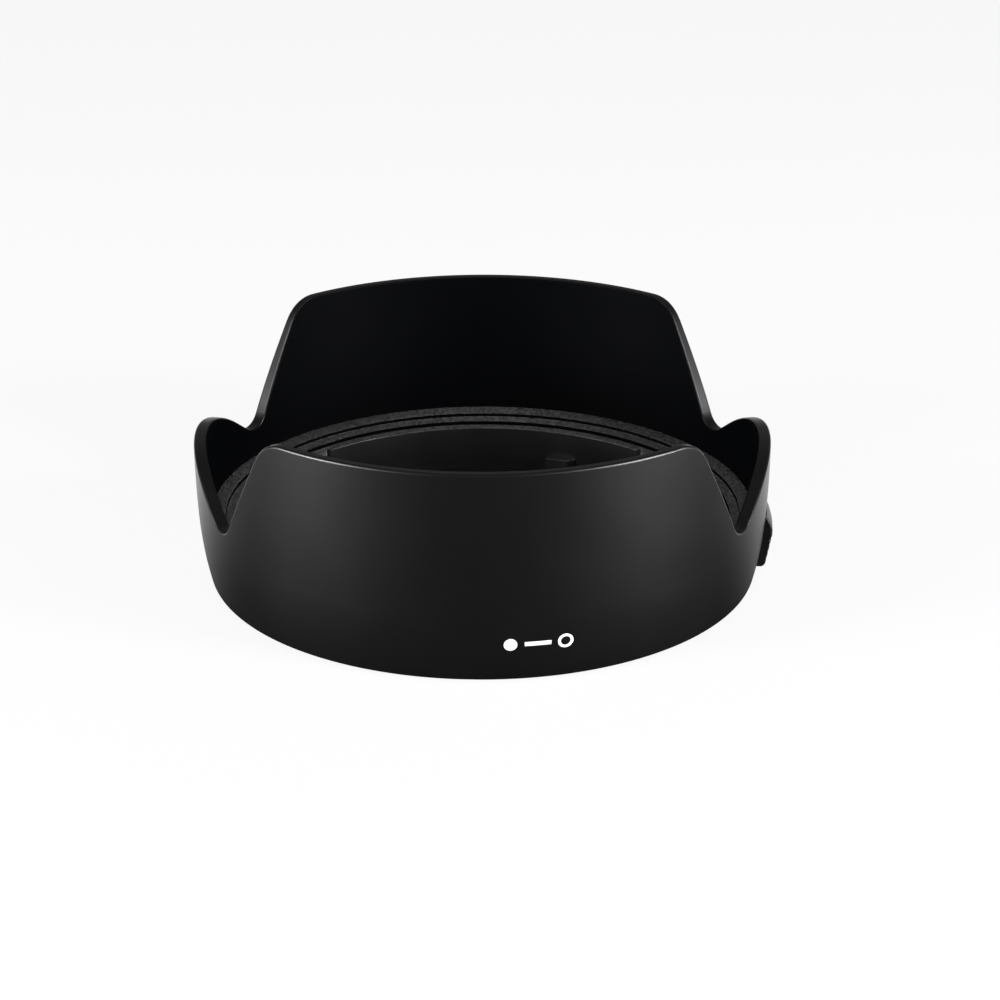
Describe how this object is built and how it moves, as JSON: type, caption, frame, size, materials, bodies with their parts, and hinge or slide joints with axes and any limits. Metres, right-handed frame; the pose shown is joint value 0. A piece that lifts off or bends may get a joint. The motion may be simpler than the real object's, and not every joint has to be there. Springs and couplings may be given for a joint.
{
  "type": "lens hood",
  "caption": "Petal-shaped lens hood with a bayonet mount, a stepped light trap and a side release button.",
  "frame": {"origin": "centre of the rear face, where the hood meets the lens", "axes": "+Z along the optical axis from the lens towards the petals; the tall petals lie on -Y and +Y, the short ones on -X and +X, and the release button is on +X"},
  "size_m": [0.0747, 0.074, 0.0271],
  "materials": {
    "shell_plastic": "satin-matte black, fine moulded grain",
    "ring_plastic": "matte black, granular on the ledges and smooth on the seat",
    "button_plastic": "satin black with grip grooves",
    "latch_plastic": "low-friction black acetal",
    "spring_steel": "bright drawn wire",
    "pin_steel": "ground steel",
    "screw_steel": "black oxide steel",
    "white_print": "white pad print"
  },
  "bodies": {
    "root": {"petal_shell": "shell_plastic", "mount_ring": "ring_plastic", "button_spring": "spring_steel", "lever_pivot_pin": "pin_steel", "lever_spring": "spring_steel", "ring_screws": "screw_steel", "index_marks": "white_print"},
    "button": {"release_button": "button_plastic"},
    "lever": {"latch_lever": "latch_plastic"}
  },
  "joints": [
    {"name": "button_slide", "type": "slide", "parent": "root", "child": "button", "axis": [-1, 0, 0], "range_m": [0, 0.0008], "stiffness_N_per_m": 1500, "springref_m": -0.0008, "deforming": ["button_spring"]},
    {"name": "latch_pivot", "type": "hinge", "parent": "root", "child": "lever", "pos_m": [0.03176, 0.01001, 0.003], "axis": [0, 0, 1], "range_deg": [-10.6, 0], "deforming": ["lever_spring"]}
  ],
  "couplings": [
    {"joint": "latch_pivot", "follows": "button_slide", "rad_per_m": -223}
  ]
}
